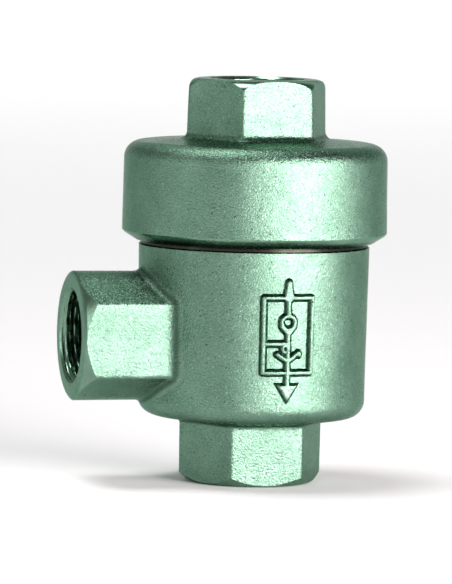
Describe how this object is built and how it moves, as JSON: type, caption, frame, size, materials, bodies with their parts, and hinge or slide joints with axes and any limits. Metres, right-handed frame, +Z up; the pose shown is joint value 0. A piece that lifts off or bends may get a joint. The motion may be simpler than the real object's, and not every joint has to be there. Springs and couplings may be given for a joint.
{
  "type": "quick exhaust valve",
  "caption": "Angle-pattern quick exhaust valve in nickel-plated forged brass: round body, larger screwed cap, hexagonal threaded ports and an internal lip-seal shuttle.",
  "frame": {"origin": "centre of the footprint's bounding box, on the end face of the exhaust port", "axes": "+Z up the valve's own axis towards the inlet port, -X along the outlet port, -Y towards the raised flow diagram; the valve's axis is the vertical line at x = 0.00575, y = 0"},
  "size_m": [0.0676, 0.056, 0.0851],
  "materials": {
    "nickel_forging": "forged brass, shot-blasted and nickel-plated, turned bright at the joint",
    "turned_brass": "turned",
    "stainless_steel": "turned stainless steel",
    "nitrile_rubber": "moulded nitrile",
    "acetal": "moulded acetal"
  },
  "bodies": {
    "housing": {"body": "nickel_forging", "cap": "nickel_forging", "cap_o_ring": "nitrile_rubber", "exhaust_seat": "turned_brass", "exhaust_seat_o_ring": "nitrile_rubber"},
    "shuttle": {"shuttle_core": "acetal", "threaded_insert": "turned_brass", "exhaust_seal": "nitrile_rubber", "lip_seal": "nitrile_rubber", "lip_retainer": "stainless_steel", "inlet_seal": "nitrile_rubber", "clamp_washer": "stainless_steel", "spring_washer": "stainless_steel", "clamp_screw": "stainless_steel"}
  },
  "joints": [
    {"name": "shuttle_travel", "type": "slide", "parent": "housing", "child": "shuttle", "axis": [0, 0, 1], "range_m": [0, 0.0032]}
  ]
}
